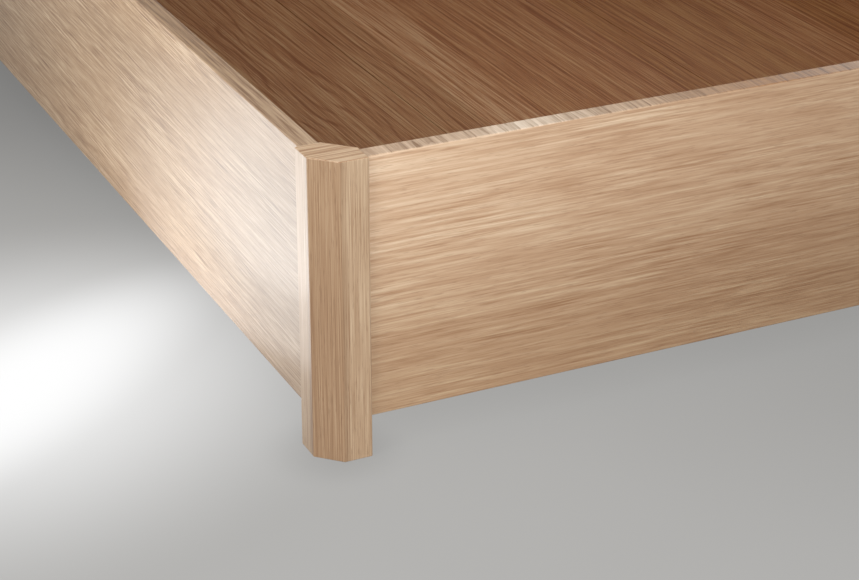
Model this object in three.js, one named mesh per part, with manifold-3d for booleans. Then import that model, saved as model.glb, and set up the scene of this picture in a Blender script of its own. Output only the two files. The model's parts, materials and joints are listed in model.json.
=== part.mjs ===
// An ottoman bed: an oak box with corner posts, and a slatted lid that gas struts hold open.
// Millimetres. X runs across the bed, Y from foot to head, Z up. The origin is on the floor, under the middle.
import * as THREE from 'three';
import { mergeVertices } from 'three/addons/utils/BufferGeometryUtils.js';
import Module from 'manifold-3d';

const wasm = await Module();
wasm.setup();

// The mattress that the box takes.
const mattressWidth = 1350;
const mattressLength = 1900;
const mattressGap = 10;

// Corner posts and rails.
const postSide = 64;
const postHeight = 380;
const postChamfer = 28;
const railThick = 25;
const railSetBack = 7;
const railDrop = 2;
const railGround = 50;
const easeRadius = 2;
const postEndEase = 1.2;

// Floor of the box.
const cleatWidth = 22;
const cleatHeight = 22;
const cleatLift = 2;
const cleatEndGap = 2;
const floorThick = 12;
const floorPanels = 3;
const floorGap = 1.5;
const floorCornerGap = 3;
const beamWidth = 60;
const beamHeight = 22;
const footRadius = 24;
const footWaistRadius = 19;
const footPadHeight = 6;

// Steel braces that pull the rails and posts together.
const braceThick = 3;
const braceHeight = 50;
const braceLift = 8;
const braceFlange = 50;
const braceStandOff = 12;
const boltRadius = 4;
const boltHoleGap = 0.5;
const boltTail = 9;
const nutRadius = 7.5;
const nutHeight = 7;
const washerRadius = 10;
const washerThick = 1.6;

// Lid: a steel frame with slats on it.
const lidGap = 8;
const lidDepth = 50;
const tubeSide = 30;
const tubeWall = 1.5;
const slatWidth = 90;
const slatThick = 18;
const slatCount = 13;
const slatEndGap = 10;
const slatRound = 5;
const openAngle = THREE.MathUtils.degToRad(55);

// Battens that the closed lid rests on. They reach past its edge by restSeat.
const restSeat = 22;
const restHeight = 25;
const restGap = 0.5;
const restBackGap = 60;

// Lift mechanism on each side.
const pivotInset = 136;
const plateThick = 5;
const plateRimRadius = 20;
const plateFloorGap = 5;
const plateToe = 80;
const plateToeRise = 60;
const pivotRadius = 6;
const pivotHeadRadius = 11;
const pivotHeadThick = 4;
const bushRadius = 10;
const runningGap = 0.3;
const bracketTail = 70;
const bracketRimRadius = 15;

// Gas struts. Both ends lie on one circle round the pivot, so a strut turns half as far as the lid.
const strutFootAngle = THREE.MathUtils.degToRad(6);
const strutHeadAngle = THREE.MathUtils.degToRad(20);
const cylinderRadius = 9;
const cylinderBoreRadius = 7;
const cylinderEndWall = 6;
const guideLength = 20;
const guideGap = 0.4;
const mouthChamfer = 1.5;
const rodRadius = 4;
const rodOverlap = 35;
const rodStandOff = 4;
const pistonLength = 12;
const eyeRadius = 9;
const eyeThick = 10;
const eyeNeck = 20;
const neckRadius = 4.5;
const collarRadius = 6.5;
const collarChamfer = 1;
const studRadius = 4;
const studShoulderRadius = 6.5;
const studHeadThick = 2;
const strutSideGap = 2;

// Clearances and smoothness.
const seatGap = 0.3;
const overrun = 1;
const roundSteps = 24;
const easeSteps = 3;

// Sizes worked out from those above.
const openingWidth = mattressWidth + 2 * mattressGap;
const openingLength = mattressLength + 2 * mattressGap;
const innerX = openingWidth / 2;
const innerY = openingLength / 2;
const railInset = railSetBack + railThick;
const outerX = innerX + railInset;
const outerY = innerY + railInset;
const postInnerX = outerX - postSide;
const postInnerY = outerY - postSide;
const railTop = postHeight - railDrop;
const railHeight = railTop - railGround;
const cleatBottom = railGround + cleatLift;
const floorBottom = cleatBottom + cleatHeight;
const floorTop = floorBottom + floorThick;
const slatTop = railTop - lidDepth;
const tubeHalf = tubeSide / 2;
const tubeTop = slatTop - slatThick - seatGap;
const pivotZ = tubeTop - tubeHalf;
const tubeBottom = pivotZ - tubeHalf;
const lidHalfX = innerX - lidGap;
// The lid ends level with the posts' inner edges, so its corners clear them.
const lidHalfY = postInnerY;
const pivotY = lidHalfY - pivotInset;
const lidFootY = -lidHalfY - pivotY;
const lidHeadY = lidHalfY - pivotY;
const plateInnerX = innerX - plateThick;
const tubeInnerX = lidHalfX - tubeSide;
const bracketOuterX = tubeInnerX - seatGap;
const bracketInnerX = bracketOuterX - plateThick;
const strutX = plateInnerX - strutSideGap - cylinderRadius;
const strutFootDrop = pivotZ - floorTop - plateFloorGap - plateRimRadius;
const strutCircleRadius = strutFootDrop / Math.cos(strutFootAngle);
const cylinderEnd = eyeRadius + cylinderEndWall;

// Places in the side view: Y towards the head, Z up, measured from the pivot.
const strutFoot = onCircle(strutFootAngle - Math.PI / 2);
const strutHeadShut = onCircle(Math.PI + strutHeadAngle);
const strutHeadOpen = onCircle(Math.PI + strutHeadAngle - openAngle);
const shutLength = strutHeadShut.distanceTo(strutFoot);
const openLength = strutHeadOpen.distanceTo(strutFoot);
const cylinderLength = shutLength - eyeNeck - rodStandOff;
const rodLength = openLength - cylinderLength + rodOverlap;
const strutTurn = strutHeadOpen.clone().sub(strutFoot).angle();

const materials = {
  oak: { color: 0xd9ba94, roughness: 0.55, metalness: 0 },
  floorOak: { color: 0x7b5a3c, roughness: 0.6, metalness: 0 },
  pine: { color: 0xd8c096, roughness: 0.7, metalness: 0 },
  slat: { color: 0xe0c9a2, roughness: 0.6, metalness: 0 },
  blackSteel: { color: 0x1d1d1f, roughness: 0.45, metalness: 0.6 },
  zincSteel: { color: 0xa9adb0, roughness: 0.35, metalness: 0.9 },
  chromeRod: { color: 0xd4d6d8, roughness: 0.12, metalness: 1 },
  plastic: { color: 0x161616, roughness: 0.6, metalness: 0 },
};

const bed = new THREE.Group();
const lid = new THREE.Group();
lid.position.set(0, pivotY, pivotZ);
lid.rotation.x = -openAngle;
bed.add(lid);

// Helpers for shapes.

function onCircle(angle) {
  return new THREE.Vector2(Math.cos(angle), Math.sin(angle)).multiplyScalar(strutCircleRadius);
}

function addPiece(group, name, geometry, finish) {
  const mesh = new THREE.Mesh(geometry, new THREE.MeshStandardMaterial(materials[finish]));
  mesh.name = name;
  group.add(mesh);
  return mesh;
}

// A closed outline with each corner rounded by its own radius.
function roundedOutline(corners, radii, steps = easeSteps) {
  const points = [];
  corners.forEach((corner, i) => {
    const before = corners[(i + corners.length - 1) % corners.length];
    const after = corners[(i + 1) % corners.length];
    const radius = Array.isArray(radii) ? radii[i] : radii;
    if (radius === 0) {
      points.push(corner.clone());
      return;
    }
    const toBefore = before.clone().sub(corner).normalize();
    const toAfter = after.clone().sub(corner).normalize();
    const halfAngle = Math.acos(THREE.MathUtils.clamp(toBefore.dot(toAfter), -1, 1)) / 2;
    const reach = radius / Math.tan(halfAngle);
    const middle = toBefore.clone().add(toAfter).normalize().multiplyScalar(radius / Math.sin(halfAngle));
    const centre = corner.clone().add(middle);
    const start = corner.clone().addScaledVector(toBefore, reach).sub(centre);
    const end = corner.clone().addScaledVector(toAfter, reach).sub(centre);
    const turn = Math.atan2(start.cross(end), start.dot(end));
    for (let step = 0; step <= steps; step += 1) {
      points.push(start.clone().rotateAround(new THREE.Vector2(), (turn * step) / steps).add(centre));
    }
  });
  return new THREE.Shape(points);
}

function rectangle(width, height) {
  const x = width / 2;
  const y = height / 2;
  return [
    new THREE.Vector2(-x, -y),
    new THREE.Vector2(x, -y),
    new THREE.Vector2(x, y),
    new THREE.Vector2(-x, y),
  ];
}

// The tight outline round a set of discs, as a plate is cut round its holes.
function outlineRoundDiscs(discs) {
  const points = discs.flatMap(({ centre, radius }) =>
    Array.from({ length: roundSteps }, (_, i) => {
      const angle = (2 * Math.PI * i) / roundSteps;
      return new THREE.Vector2(Math.cos(angle), Math.sin(angle)).multiplyScalar(radius).add(centre);
    }),
  );
  points.sort((a, b) => a.x - b.x || a.y - b.y);
  const chain = (list) => {
    const kept = [];
    for (const point of list) {
      while (kept.length > 1) {
        const last = kept[kept.length - 1];
        const edge = last.clone().sub(kept[kept.length - 2]);
        if (edge.cross(point.clone().sub(last)) > 0) break;
        kept.pop();
      }
      kept.push(point);
    }
    return kept.slice(0, -1);
  };
  return new THREE.Shape([...chain(points), ...chain([...points].reverse())]);
}

function extrude(shape, depth) {
  return new THREE.ExtrudeGeometry(shape, { depth, bevelEnabled: false, curveSegments: roundSteps });
}

// A section drawn in X and Z, run along Y from start to end.
function alongY(shape, start, end) {
  const geometry = extrude(shape, end - start);
  geometry.rotateX(Math.PI / 2);
  geometry.translate(0, end, 0);
  return geometry;
}

// A section drawn in Y and Z, run along X from start to end.
function alongX(shape, start, end) {
  const geometry = extrude(shape, end - start);
  geometry.rotateZ(Math.PI / 2);
  geometry.rotateY(Math.PI / 2);
  geometry.translate(start, 0, 0);
  return geometry;
}

// A turned piece: radius and height pairs from one end of its axis to the other.
function turned(profile, steps = roundSteps) {
  const points = profile.map(([radius, height]) => new THREE.Vector2(radius, height));
  const geometry = new THREE.LatheGeometry(points, steps);
  geometry.rotateX(Math.PI / 2);
  return geometry;
}

// A round bar along X from start to end, at a place in the side view.
function barAlongX(radius, start, end, place) {
  const bar = turned([[0, start], [radius, start], [radius, end], [0, end]]);
  bar.rotateY(Math.PI / 2);
  bar.translate(0, place.x, place.y);
  return bar;
}

// A solid of a closed mesh. Triangles that have shrunk to a line at a turned piece's axis are left out.
function toSolid(geometry) {
  const bare = geometry.clone();
  bare.deleteAttribute('normal');
  bare.deleteAttribute('uv');
  const merged = mergeVertices(bare);
  const corners = merged.index.array;
  const kept = [];
  for (let i = 0; i < corners.length; i += 3) {
    const [a, b, c] = corners.slice(i, i + 3);
    if (a !== b && b !== c && c !== a) kept.push(a, b, c);
  }
  return new wasm.Manifold(
    new wasm.Mesh({
      numProp: 3,
      vertProperties: new Float32Array(merged.attributes.position.array),
      triVerts: new Uint32Array(kept),
    }),
  );
}

function toGeometry(solid) {
  const mesh = solid.getMesh();
  const geometry = new THREE.BufferGeometry();
  geometry.setAttribute('position', new THREE.BufferAttribute(mesh.vertProperties, mesh.numProp));
  geometry.setIndex(new THREE.BufferAttribute(mesh.triVerts, 1));
  geometry.computeVertexNormals();
  return geometry;
}

function combine(first, { added = [], cut = [] }) {
  const joined = added.reduce((solid, piece) => solid.add(toSolid(piece)), toSolid(first));
  return toGeometry(cut.reduce((solid, piece) => solid.subtract(toSolid(piece)), joined));
}

// Mirrors points to one corner or side of the bed, and keeps the faces pointing out.
function mirrored(geometry, signX, signY) {
  const result = geometry.clone();
  result.scale(signX, signY, 1);
  if (signX * signY > 0) return result;
  const flipped = result.index ? result : mergeVertices(result);
  const index = flipped.index.array;
  for (let i = 0; i < index.length; i += 3) {
    const kept = index[i];
    index[i] = index[i + 1];
    index[i + 1] = kept;
  }
  flipped.computeVertexNormals();
  return flipped;
}

const sides = [
  { name: 'left', sign: -1 },
  { name: 'right', sign: 1 },
];
const ends = [
  { name: 'foot', sign: -1 },
  { name: 'head', sign: 1 },
];

// Box: posts and rails.

// Six sides: a square with its outer corner cut off, and its inner corner cut off between the rails.
function postGeometry() {
  const section = roundedOutline(
    [
      new THREE.Vector2(postInnerX, outerY),
      new THREE.Vector2(postInnerX, innerY),
      new THREE.Vector2(innerX, postInnerY),
      new THREE.Vector2(outerX, postInnerY),
      new THREE.Vector2(outerX, outerY - postChamfer),
      new THREE.Vector2(outerX - postChamfer, outerY),
    ],
    [easeRadius, 0, 0, easeRadius, easeRadius, easeRadius],
  );
  const geometry = new THREE.ExtrudeGeometry(section, {
    depth: postHeight - 2 * postEndEase,
    bevelSize: postEndEase,
    bevelThickness: postEndEase,
    bevelOffset: -postEndEase,
    bevelSegments: easeSteps,
  });
  geometry.translate(0, 0, postEndEase);
  return geometry;
}

function addPosts() {
  for (const end of ends) {
    for (const side of sides) {
      const geometry = mirrored(postGeometry(), side.sign, end.sign);
      addPiece(bed, `post_${end.name}_${side.name}`, geometry, 'oak');
    }
  }
}

function railSection() {
  return roundedOutline(rectangle(railThick, railHeight), easeRadius);
}

function addRails() {
  const middleZ = railGround + railHeight / 2;
  for (const side of sides) {
    const rail = addPiece(bed, `side_rail_${side.name}`, alongY(railSection(), -postInnerY, postInnerY), 'oak');
    rail.position.set(side.sign * (innerX + railThick / 2), 0, middleZ);
  }
  for (const end of ends) {
    const rail = addPiece(bed, `${end.name}_rail`, alongX(railSection(), -postInnerX, postInnerX), 'oak');
    rail.position.set(0, end.sign * (innerY + railThick / 2), middleZ);
  }
}

// Floor: cleats on the rails, beams on feet, and panels.

function addCleats() {
  const middleZ = cleatBottom + cleatHeight / 2;
  const section = roundedOutline(rectangle(cleatWidth, cleatHeight), easeRadius, 1);
  const sideEnd = postInnerY - cleatEndGap;
  const crossEnd = postInnerX - cleatEndGap;
  for (const side of sides) {
    const cleat = addPiece(bed, `floor_cleat_${side.name}`, alongY(section, -sideEnd, sideEnd), 'pine');
    cleat.position.set(side.sign * (innerX - cleatWidth / 2), 0, middleZ);
  }
  for (const end of ends) {
    const cleat = addPiece(bed, `floor_cleat_${end.name}`, alongX(section, -crossEnd, crossEnd), 'pine');
    cleat.position.set(0, end.sign * (innerY - cleatWidth / 2), middleZ);
  }
}

const panelWidth = openingWidth / floorPanels;
const beamBottom = floorBottom - beamHeight;

function addBeams() {
  const reach = innerY - cleatWidth;
  const section = roundedOutline(rectangle(beamWidth, beamHeight), easeRadius, 1);
  for (const side of sides) {
    const x = (side.sign * panelWidth) / 2;
    const beam = addPiece(bed, `floor_beam_${side.name}`, alongY(section, -reach, reach), 'pine');
    beam.position.set(x, 0, beamBottom + beamHeight / 2);
    const foot = addPiece(bed, `centre_foot_${side.name}`, centreFootGeometry(), 'plastic');
    foot.position.set(x, 0, 0);
  }
}

function centreFootGeometry() {
  const waistTop = beamBottom - footPadHeight;
  return turned([
    [0, 0],
    [footRadius - easeRadius, 0],
    [footRadius, easeRadius],
    [footRadius, footPadHeight],
    [footWaistRadius, 2 * footPadHeight],
    [footWaistRadius, waistTop - footPadHeight],
    [footRadius, waistTop],
    [footRadius, beamBottom],
    [0, beamBottom],
  ]);
}

// The outer panels have their corners cut off past the posts.
function addFloorPanels() {
  const low = -innerY + floorGap;
  const high = innerY - floorGap;
  const cut = postSide - railInset + floorCornerGap;
  for (let i = 0; i < floorPanels; i += 1) {
    const left = -innerX + i * panelWidth + floorGap / 2;
    const right = left + panelWidth - floorGap;
    const leftCut = i === 0 ? cut : 0;
    const rightCut = i === floorPanels - 1 ? cut : 0;
    const corners = [
      [left + leftCut, low],
      [right - rightCut, low],
      ...(rightCut ? [[right, low + cut], [right, high - cut]] : []),
      [right - rightCut, high],
      [left + leftCut, high],
      ...(leftCut ? [[left, high - cut], [left, low + cut]] : []),
    ];
    const shape = new THREE.Shape(corners.map(([x, y]) => new THREE.Vector2(x, y)));
    const panel = addPiece(bed, `floor_panel_${i + 1}`, extrude(shape, floorThick), 'floorOak');
    panel.position.z = floorBottom;
  }
}

// Corner braces: a bent steel strip across each inner corner, drawn up by a bolt from the post.

const braceDiagonal = innerX + postInnerY - braceStandOff * Math.SQRT2;
const braceBottom = floorTop + braceLift;
const braceMiddle = new THREE.Vector2(1, 1).multiplyScalar(braceDiagonal / 2);
braceMiddle.add(new THREE.Vector2(innerX - innerY, innerY - innerX).divideScalar(2));

// The strip's outline seen from above, in the corner at the head on the right.
function braceOutline() {
  const outside = braceDiagonal;
  const inside = braceDiagonal - braceThick * Math.SQRT2;
  const flangeEndY = outside - innerX - braceFlange;
  const flangeEndX = outside - innerY - braceFlange;
  const innerFaceX = innerX - braceThick;
  const innerFaceY = innerY - braceThick;
  return new THREE.Shape([
    new THREE.Vector2(innerX, flangeEndY),
    new THREE.Vector2(innerX, outside - innerX),
    new THREE.Vector2(outside - innerY, innerY),
    new THREE.Vector2(flangeEndX, innerY),
    new THREE.Vector2(flangeEndX, innerFaceY),
    new THREE.Vector2(inside - innerFaceY, innerFaceY),
    new THREE.Vector2(innerFaceX, inside - innerFaceX),
    new THREE.Vector2(innerFaceX, flangeEndY),
  ]);
}

// Turns a piece made along Z to point into the box along the corner's diagonal.
function alongDiagonal(geometry) {
  geometry.rotateY(-Math.PI / 2);
  geometry.rotateZ(Math.PI / 4);
  geometry.translate(braceMiddle.x, braceMiddle.y, braceBottom + braceHeight / 2);
  return geometry;
}

function braceGeometry() {
  const strip = extrude(braceOutline(), braceHeight);
  strip.translate(0, 0, braceBottom);
  const holeRadius = boltRadius + boltHoleGap;
  const reach = braceThick + overrun;
  const hole = alongDiagonal(turned([[0, -reach], [holeRadius, -reach], [holeRadius, reach], [0, reach]]));
  return combine(strip, { cut: [hole] });
}

// Washer, six-sided nut and threaded end, in one piece as they sit when tightened.
function boltGeometry() {
  const washerStart = braceThick + seatGap;
  const nutStart = washerStart + washerThick;
  const nutEnd = nutStart + nutHeight;
  const start = -braceStandOff + seatGap;
  const shank = turned([
    [0, start],
    [boltRadius, start],
    [boltRadius, washerStart],
    [washerRadius, washerStart],
    [washerRadius, nutStart],
    [boltRadius, nutStart],
    [boltRadius, nutEnd + boltTail - easeRadius],
    [boltRadius - easeRadius / 2, nutEnd + boltTail],
    [0, nutEnd + boltTail],
  ]);
  const nut = turned([[0, nutStart - seatGap], [nutRadius, nutStart - seatGap], [nutRadius, nutEnd], [0, nutEnd]], 6);
  return alongDiagonal(combine(shank, { added: [nut] }));
}

function addBraces() {
  const brace = braceGeometry();
  const bolt = boltGeometry();
  for (const end of ends) {
    for (const side of sides) {
      const corner = `${end.name}_${side.name}`;
      addPiece(bed, `corner_brace_${corner}`, mirrored(brace, side.sign, end.sign), 'zincSteel');
      addPiece(bed, `hanger_bolt_${corner}`, mirrored(bolt, side.sign, end.sign), 'zincSteel');
    }
  }
}

// Battens under the shut lid.

function addRestBattens() {
  const middleZ = tubeBottom - restGap - restHeight / 2;
  const sideWidth = innerX - lidHalfX + restSeat;
  const sideSection = roundedOutline(rectangle(sideWidth, restHeight), easeRadius, 1);
  const start = -postInnerY + cleatEndGap;
  const end = pivotY + strutHeadShut.x - restBackGap;
  for (const side of sides) {
    const batten = addPiece(bed, `lid_rest_${side.name}`, alongY(sideSection, start, end), 'pine');
    batten.position.set(side.sign * (innerX - sideWidth / 2), 0, middleZ);
  }
  const footWidth = innerY - lidHalfY + restSeat;
  const footSection = roundedOutline(rectangle(footWidth, restHeight), easeRadius, 1);
  const reach = postInnerX - cleatEndGap;
  const foot = addPiece(bed, 'lid_rest_foot', alongX(footSection, -reach, reach), 'pine');
  foot.position.set(0, -innerY + footWidth / 2, middleZ);
}

// Lift mechanism. Each piece is drawn for the right side and mirrored for the left.

// A stud that stands on a plate and holds a strut's eye: shoulder, journal and peened head.
function studAlongX(plateX, towards, place) {
  const eyeNear = strutX - (towards * eyeThick) / 2;
  const eyeFar = strutX + (towards * eyeThick) / 2;
  const headEnd = eyeFar + towards * (seatGap + studHeadThick);
  const pieces = [
    [studShoulderRadius, plateX - towards * overrun, eyeNear - towards * seatGap],
    [studRadius, plateX - towards * overrun, headEnd],
    [studShoulderRadius, eyeFar + towards * seatGap, headEnd],
  ];
  return pieces.map(([radius, a, b]) => barAlongX(radius, Math.min(a, b), Math.max(a, b), place));
}

// Plate on the side rail, with the pivot hole and the stud for the strut's foot.
function liftPlateGeometry() {
  const pivot = new THREE.Vector2();
  const toe = new THREE.Vector2(strutFoot.x - plateToe, strutFoot.y + plateToeRise);
  const outline = outlineRoundDiscs([
    { centre: pivot, radius: plateRimRadius },
    { centre: strutFoot, radius: plateRimRadius },
    { centre: toe, radius: plateRimRadius },
  ]);
  const plate = alongX(outline, plateInnerX, innerX);
  const hole = barAlongX(pivotRadius + runningGap, plateInnerX - overrun, innerX + overrun, pivot);
  return combine(plate, { added: studAlongX(plateInnerX, -1, strutFoot), cut: [hole] });
}

// Shoulder pin: shank through plate and lid, collar between them, head on the inside.
function pivotPinGeometry() {
  const headNear = bracketInnerX - runningGap;
  const profile = [
    [0, headNear - pivotHeadThick],
    [pivotHeadRadius - easeRadius, headNear - pivotHeadThick],
    [pivotHeadRadius, headNear - pivotHeadThick + easeRadius],
    [pivotHeadRadius, headNear],
    [pivotRadius, headNear],
    [pivotRadius, lidHalfX + runningGap],
    [pivotHeadRadius, lidHalfX + runningGap],
    [pivotHeadRadius, plateInnerX - runningGap],
    [pivotRadius, plateInnerX - runningGap],
    [pivotRadius, innerX - seatGap],
    [0, innerX - seatGap],
  ];
  return turned(profile).rotateY(Math.PI / 2);
}

// Plate on the lid's side tube, with the stud for the strut's head hanging below the tube.
function lidBracketGeometry() {
  const pivot = new THREE.Vector2();
  const tail = new THREE.Vector2(strutHeadShut.x - bracketTail, 0);
  const outline = outlineRoundDiscs([
    { centre: pivot, radius: bracketRimRadius },
    { centre: strutHeadShut, radius: bracketRimRadius },
    { centre: tail, radius: bracketRimRadius },
  ]);
  const plate = alongX(outline, bracketInnerX, bracketOuterX);
  const hole = barAlongX(pivotRadius + runningGap, bracketInnerX - overrun, bracketOuterX + overrun, pivot);
  return combine(plate, { added: studAlongX(bracketOuterX, 1, strutHeadShut), cut: [hole] });
}

// An eye with its hole along X, at the start of a strut part that runs along Y.
function eyePieces() {
  const eye = barAlongX(eyeRadius, -eyeThick / 2, eyeThick / 2, new THREE.Vector2());
  const hole = barAlongX(studRadius + runningGap, -eyeThick, eyeThick, new THREE.Vector2());
  return { eye, hole };
}

// A turned part whose axis runs along Y instead of Z.
function turnedAlongY(profile) {
  return turned(profile).rotateX(-Math.PI / 2);
}

function cylinderGeometry() {
  const { eye, hole } = eyePieces();
  const shoulder = eyeRadius + cylinderRadius - neckRadius;
  const body = turnedAlongY([
    [0, 0],
    [neckRadius, 0],
    [neckRadius, eyeRadius],
    [cylinderRadius, shoulder],
    [cylinderRadius, cylinderLength - mouthChamfer],
    [cylinderRadius - mouthChamfer, cylinderLength],
    [rodRadius + guideGap, cylinderLength],
    [rodRadius + guideGap, cylinderLength - guideLength],
    [cylinderBoreRadius, cylinderLength - guideLength],
    [cylinderBoreRadius, cylinderEnd],
    [0, cylinderEnd],
  ]);
  return combine(body, { added: [eye], cut: [hole] });
}

function rodGeometry() {
  const { eye, hole } = eyePieces();
  const pistonRadius = cylinderBoreRadius - guideGap;
  const body = turnedAlongY([
    [0, 0],
    [neckRadius, 0],
    [neckRadius, eyeRadius],
    [collarRadius, eyeRadius + collarRadius - neckRadius],
    [collarRadius, eyeNeck - collarChamfer],
    [collarRadius - collarChamfer, eyeNeck],
    [rodRadius, eyeNeck],
    [rodRadius, rodLength - pistonLength],
    [pistonRadius, rodLength - pistonLength],
    [pistonRadius, rodLength],
    [0, rodLength],
  ]);
  return combine(body, { added: [eye], cut: [hole] });
}

function addLift() {
  for (const side of sides) {
    const plate = addPiece(bed, `lift_plate_${side.name}`, mirrored(liftPlateGeometry(), side.sign, 1), 'blackSteel');
    plate.position.set(0, pivotY, pivotZ);
    const pin = addPiece(bed, `pivot_pin_${side.name}`, mirrored(pivotPinGeometry(), side.sign, 1), 'zincSteel');
    pin.position.set(0, pivotY, pivotZ);
    addPiece(lid, `lid_bracket_${side.name}`, mirrored(lidBracketGeometry(), side.sign, 1), 'blackSteel');
    const cylinder = addPiece(bed, `strut_cylinder_${side.name}`, cylinderGeometry(), 'blackSteel');
    cylinder.position.set(side.sign * strutX, pivotY + strutFoot.x, pivotZ + strutFoot.y);
    cylinder.rotation.x = strutTurn;
    const rod = addPiece(bed, `strut_rod_${side.name}`, rodGeometry(), 'chromeRod');
    rod.position.set(side.sign * strutX, pivotY + strutHeadOpen.x, pivotZ + strutHeadOpen.y);
    rod.rotation.x = strutTurn + Math.PI;
  }
}

// Lid: square tubes and slats, placed from the pivot as they lie when the lid is shut.

function tubeSection() {
  const section = roundedOutline(rectangle(tubeSide, tubeSide), easeRadius);
  const bore = roundedOutline(rectangle(tubeSide - 2 * tubeWall, tubeSide - 2 * tubeWall), easeRadius - tubeWall, 1);
  section.holes.push(new THREE.Path(bore.getPoints()));
  return section;
}

// Side tube with a bush welded across it for the pivot pin.
function sideTubeGeometry() {
  const tube = alongY(tubeSection(), lidFootY, lidHeadY);
  const pivot = new THREE.Vector2();
  const bush = barAlongX(bushRadius, -tubeHalf, tubeHalf, pivot);
  const hole = barAlongX(pivotRadius + runningGap, -tubeHalf - overrun, tubeHalf + overrun, pivot);
  return combine(tube, { added: [bush], cut: [hole] });
}

function addLidFrame() {
  for (const side of sides) {
    const tube = addPiece(lid, `lid_side_tube_${side.name}`, sideTubeGeometry(), 'blackSteel');
    tube.position.x = side.sign * (lidHalfX - tubeHalf);
  }
  const reach = tubeInnerX - seatGap;
  const endPlaces = { foot: lidFootY + tubeHalf, head: lidHeadY - tubeHalf };
  for (const end of ends) {
    const tube = addPiece(lid, `lid_${end.name}_tube`, alongX(tubeSection(), -reach, reach), 'blackSteel');
    tube.position.y = endPlaces[end.name];
  }
  const start = lidFootY + tubeSide + seatGap;
  const stop = lidHeadY - tubeSide - seatGap;
  addPiece(lid, 'lid_centre_tube', alongY(tubeSection(), start, stop), 'blackSteel');
}

function addSlats() {
  const section = roundedOutline(rectangle(slatWidth, slatThick), slatRound);
  const first = lidFootY + slatEndGap + slatWidth / 2;
  const last = lidHeadY - slatEndGap - slatWidth / 2;
  for (let i = 0; i < slatCount; i += 1) {
    const slat = addPiece(lid, `slat_${i + 1}`, alongX(section, -lidHalfX, lidHalfX), 'slat');
    slat.position.y = THREE.MathUtils.lerp(first, last, i / (slatCount - 1));
    slat.position.z = tubeHalf + seatGap + slatThick / 2;
  }
}

addPosts();
addRails();
addCleats();
addBeams();
addFloorPanels();
addBraces();
addRestBattens();
addLift();
addLidFrame();
addSlats();

export default bed;
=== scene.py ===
# Looks for the ottoman bed: grained timber, coated and plated metal, fine turned pieces, screws and plugs.
# Metres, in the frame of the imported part: X across the bed, Y from foot to head, Z up.
import json
import math

import bmesh
import bpy
from mathutils import Euler, Matrix, Vector


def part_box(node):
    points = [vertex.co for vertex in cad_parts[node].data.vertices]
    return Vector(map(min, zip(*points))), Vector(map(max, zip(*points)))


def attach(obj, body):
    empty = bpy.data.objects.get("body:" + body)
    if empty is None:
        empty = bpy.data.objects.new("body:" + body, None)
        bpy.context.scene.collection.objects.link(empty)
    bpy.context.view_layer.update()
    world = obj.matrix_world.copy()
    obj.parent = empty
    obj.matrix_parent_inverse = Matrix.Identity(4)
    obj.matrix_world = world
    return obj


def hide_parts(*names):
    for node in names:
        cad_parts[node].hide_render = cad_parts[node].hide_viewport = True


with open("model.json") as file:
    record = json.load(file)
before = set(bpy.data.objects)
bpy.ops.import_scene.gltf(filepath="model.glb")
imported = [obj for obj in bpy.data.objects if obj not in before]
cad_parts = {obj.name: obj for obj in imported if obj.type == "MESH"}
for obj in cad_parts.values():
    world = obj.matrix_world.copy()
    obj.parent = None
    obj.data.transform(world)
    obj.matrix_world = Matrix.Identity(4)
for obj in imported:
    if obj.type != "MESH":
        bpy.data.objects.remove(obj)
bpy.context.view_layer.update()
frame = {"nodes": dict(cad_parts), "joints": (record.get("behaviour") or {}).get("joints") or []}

MM = 0.001
SIDES = {"left": -1, "right": 1}
ENDS = {"foot": -1, "head": 1}


def joint_named(name):
    return next(joint for joint in frame["joints"] if joint["name"] == name)


def joint_place(name):
    return Vector(joint_named(name)["pos_m"])


def link(name, data):
    """A new object of the scene."""
    made = bpy.data.objects.new(name, data)
    bpy.context.scene.collection.objects.link(made)
    return made


LID_PIVOT = joint_place("lid_hinge")
OPEN_ANGLE = -math.radians(joint_named("lid_hinge")["range_deg"][0])

# Camera, fitted to the photograph's edges.
CAMERA_PLACE = (-1.62076, -3.19391, 1.37598)
CAMERA_YAW = -0.4416529
CAMERA_PITCH = 0.4492406
CAMERA_SENSOR = 36.0
FOCAL_PIXELS = 2350.0
PICTURE_WIDTH = 859

# Lamps. Only those with sheen show in mirror light.
WORLD_LIGHT = 0.5
NEAR_AIM = (-0.6, -0.9, 0.3)
FAR_AIM = (0.6, 0.9, 0.3)
LAMPS = {
    "key": {"place": (-2.1, -1.5, 1.5), "aim": NEAR_AIM, "size": 1.0, "power": 21.5, "sheen": True},
    "fill": {"place": (-0.9, -2.4, 1.3), "aim": NEAR_AIM, "size": 0.9, "power": 19.0, "sheen": True},
    "back": {"place": (2.4, 2.3, 1.5), "aim": FAR_AIM, "size": 1.0, "power": 18.0, "sheen": False},
}
PANEL_TURN = 0.38
PANELS = {
    "wide_panel": {"place": (-1.15, -0.1, 0.02), "size": (0.7, 1.6), "power": 1.95},
    "near_panel": {"place": (-1.05, -0.22, 0.03), "size": (0.4, 0.9), "power": 1.15},
}

# Sizes of the bed that the finer pieces go by, the same as in the part.
INNER_X = 0.685
INNER_Y = 0.960
SEAT_GAP = 0.3 * MM
BRACE_THICK = 3 * MM
PLATE_THICK = 5 * MM
SLAT_THICK = 18 * MM
SIDE_TUBE_X = 0.662
TUBE_HALF = 15 * MM
BRACE_FACE_X = INNER_X - BRACE_THICK
BRACE_FACE_Y = INNER_Y - BRACE_THICK
PLATE_FACE_X = INNER_X - PLATE_THICK
LID_FACE_X = SIDE_TUBE_X + TUBE_HALF
BRACKET_FACE_X = SIDE_TUBE_X - TUBE_HALF - SEAT_GAP - PLATE_THICK

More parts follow.
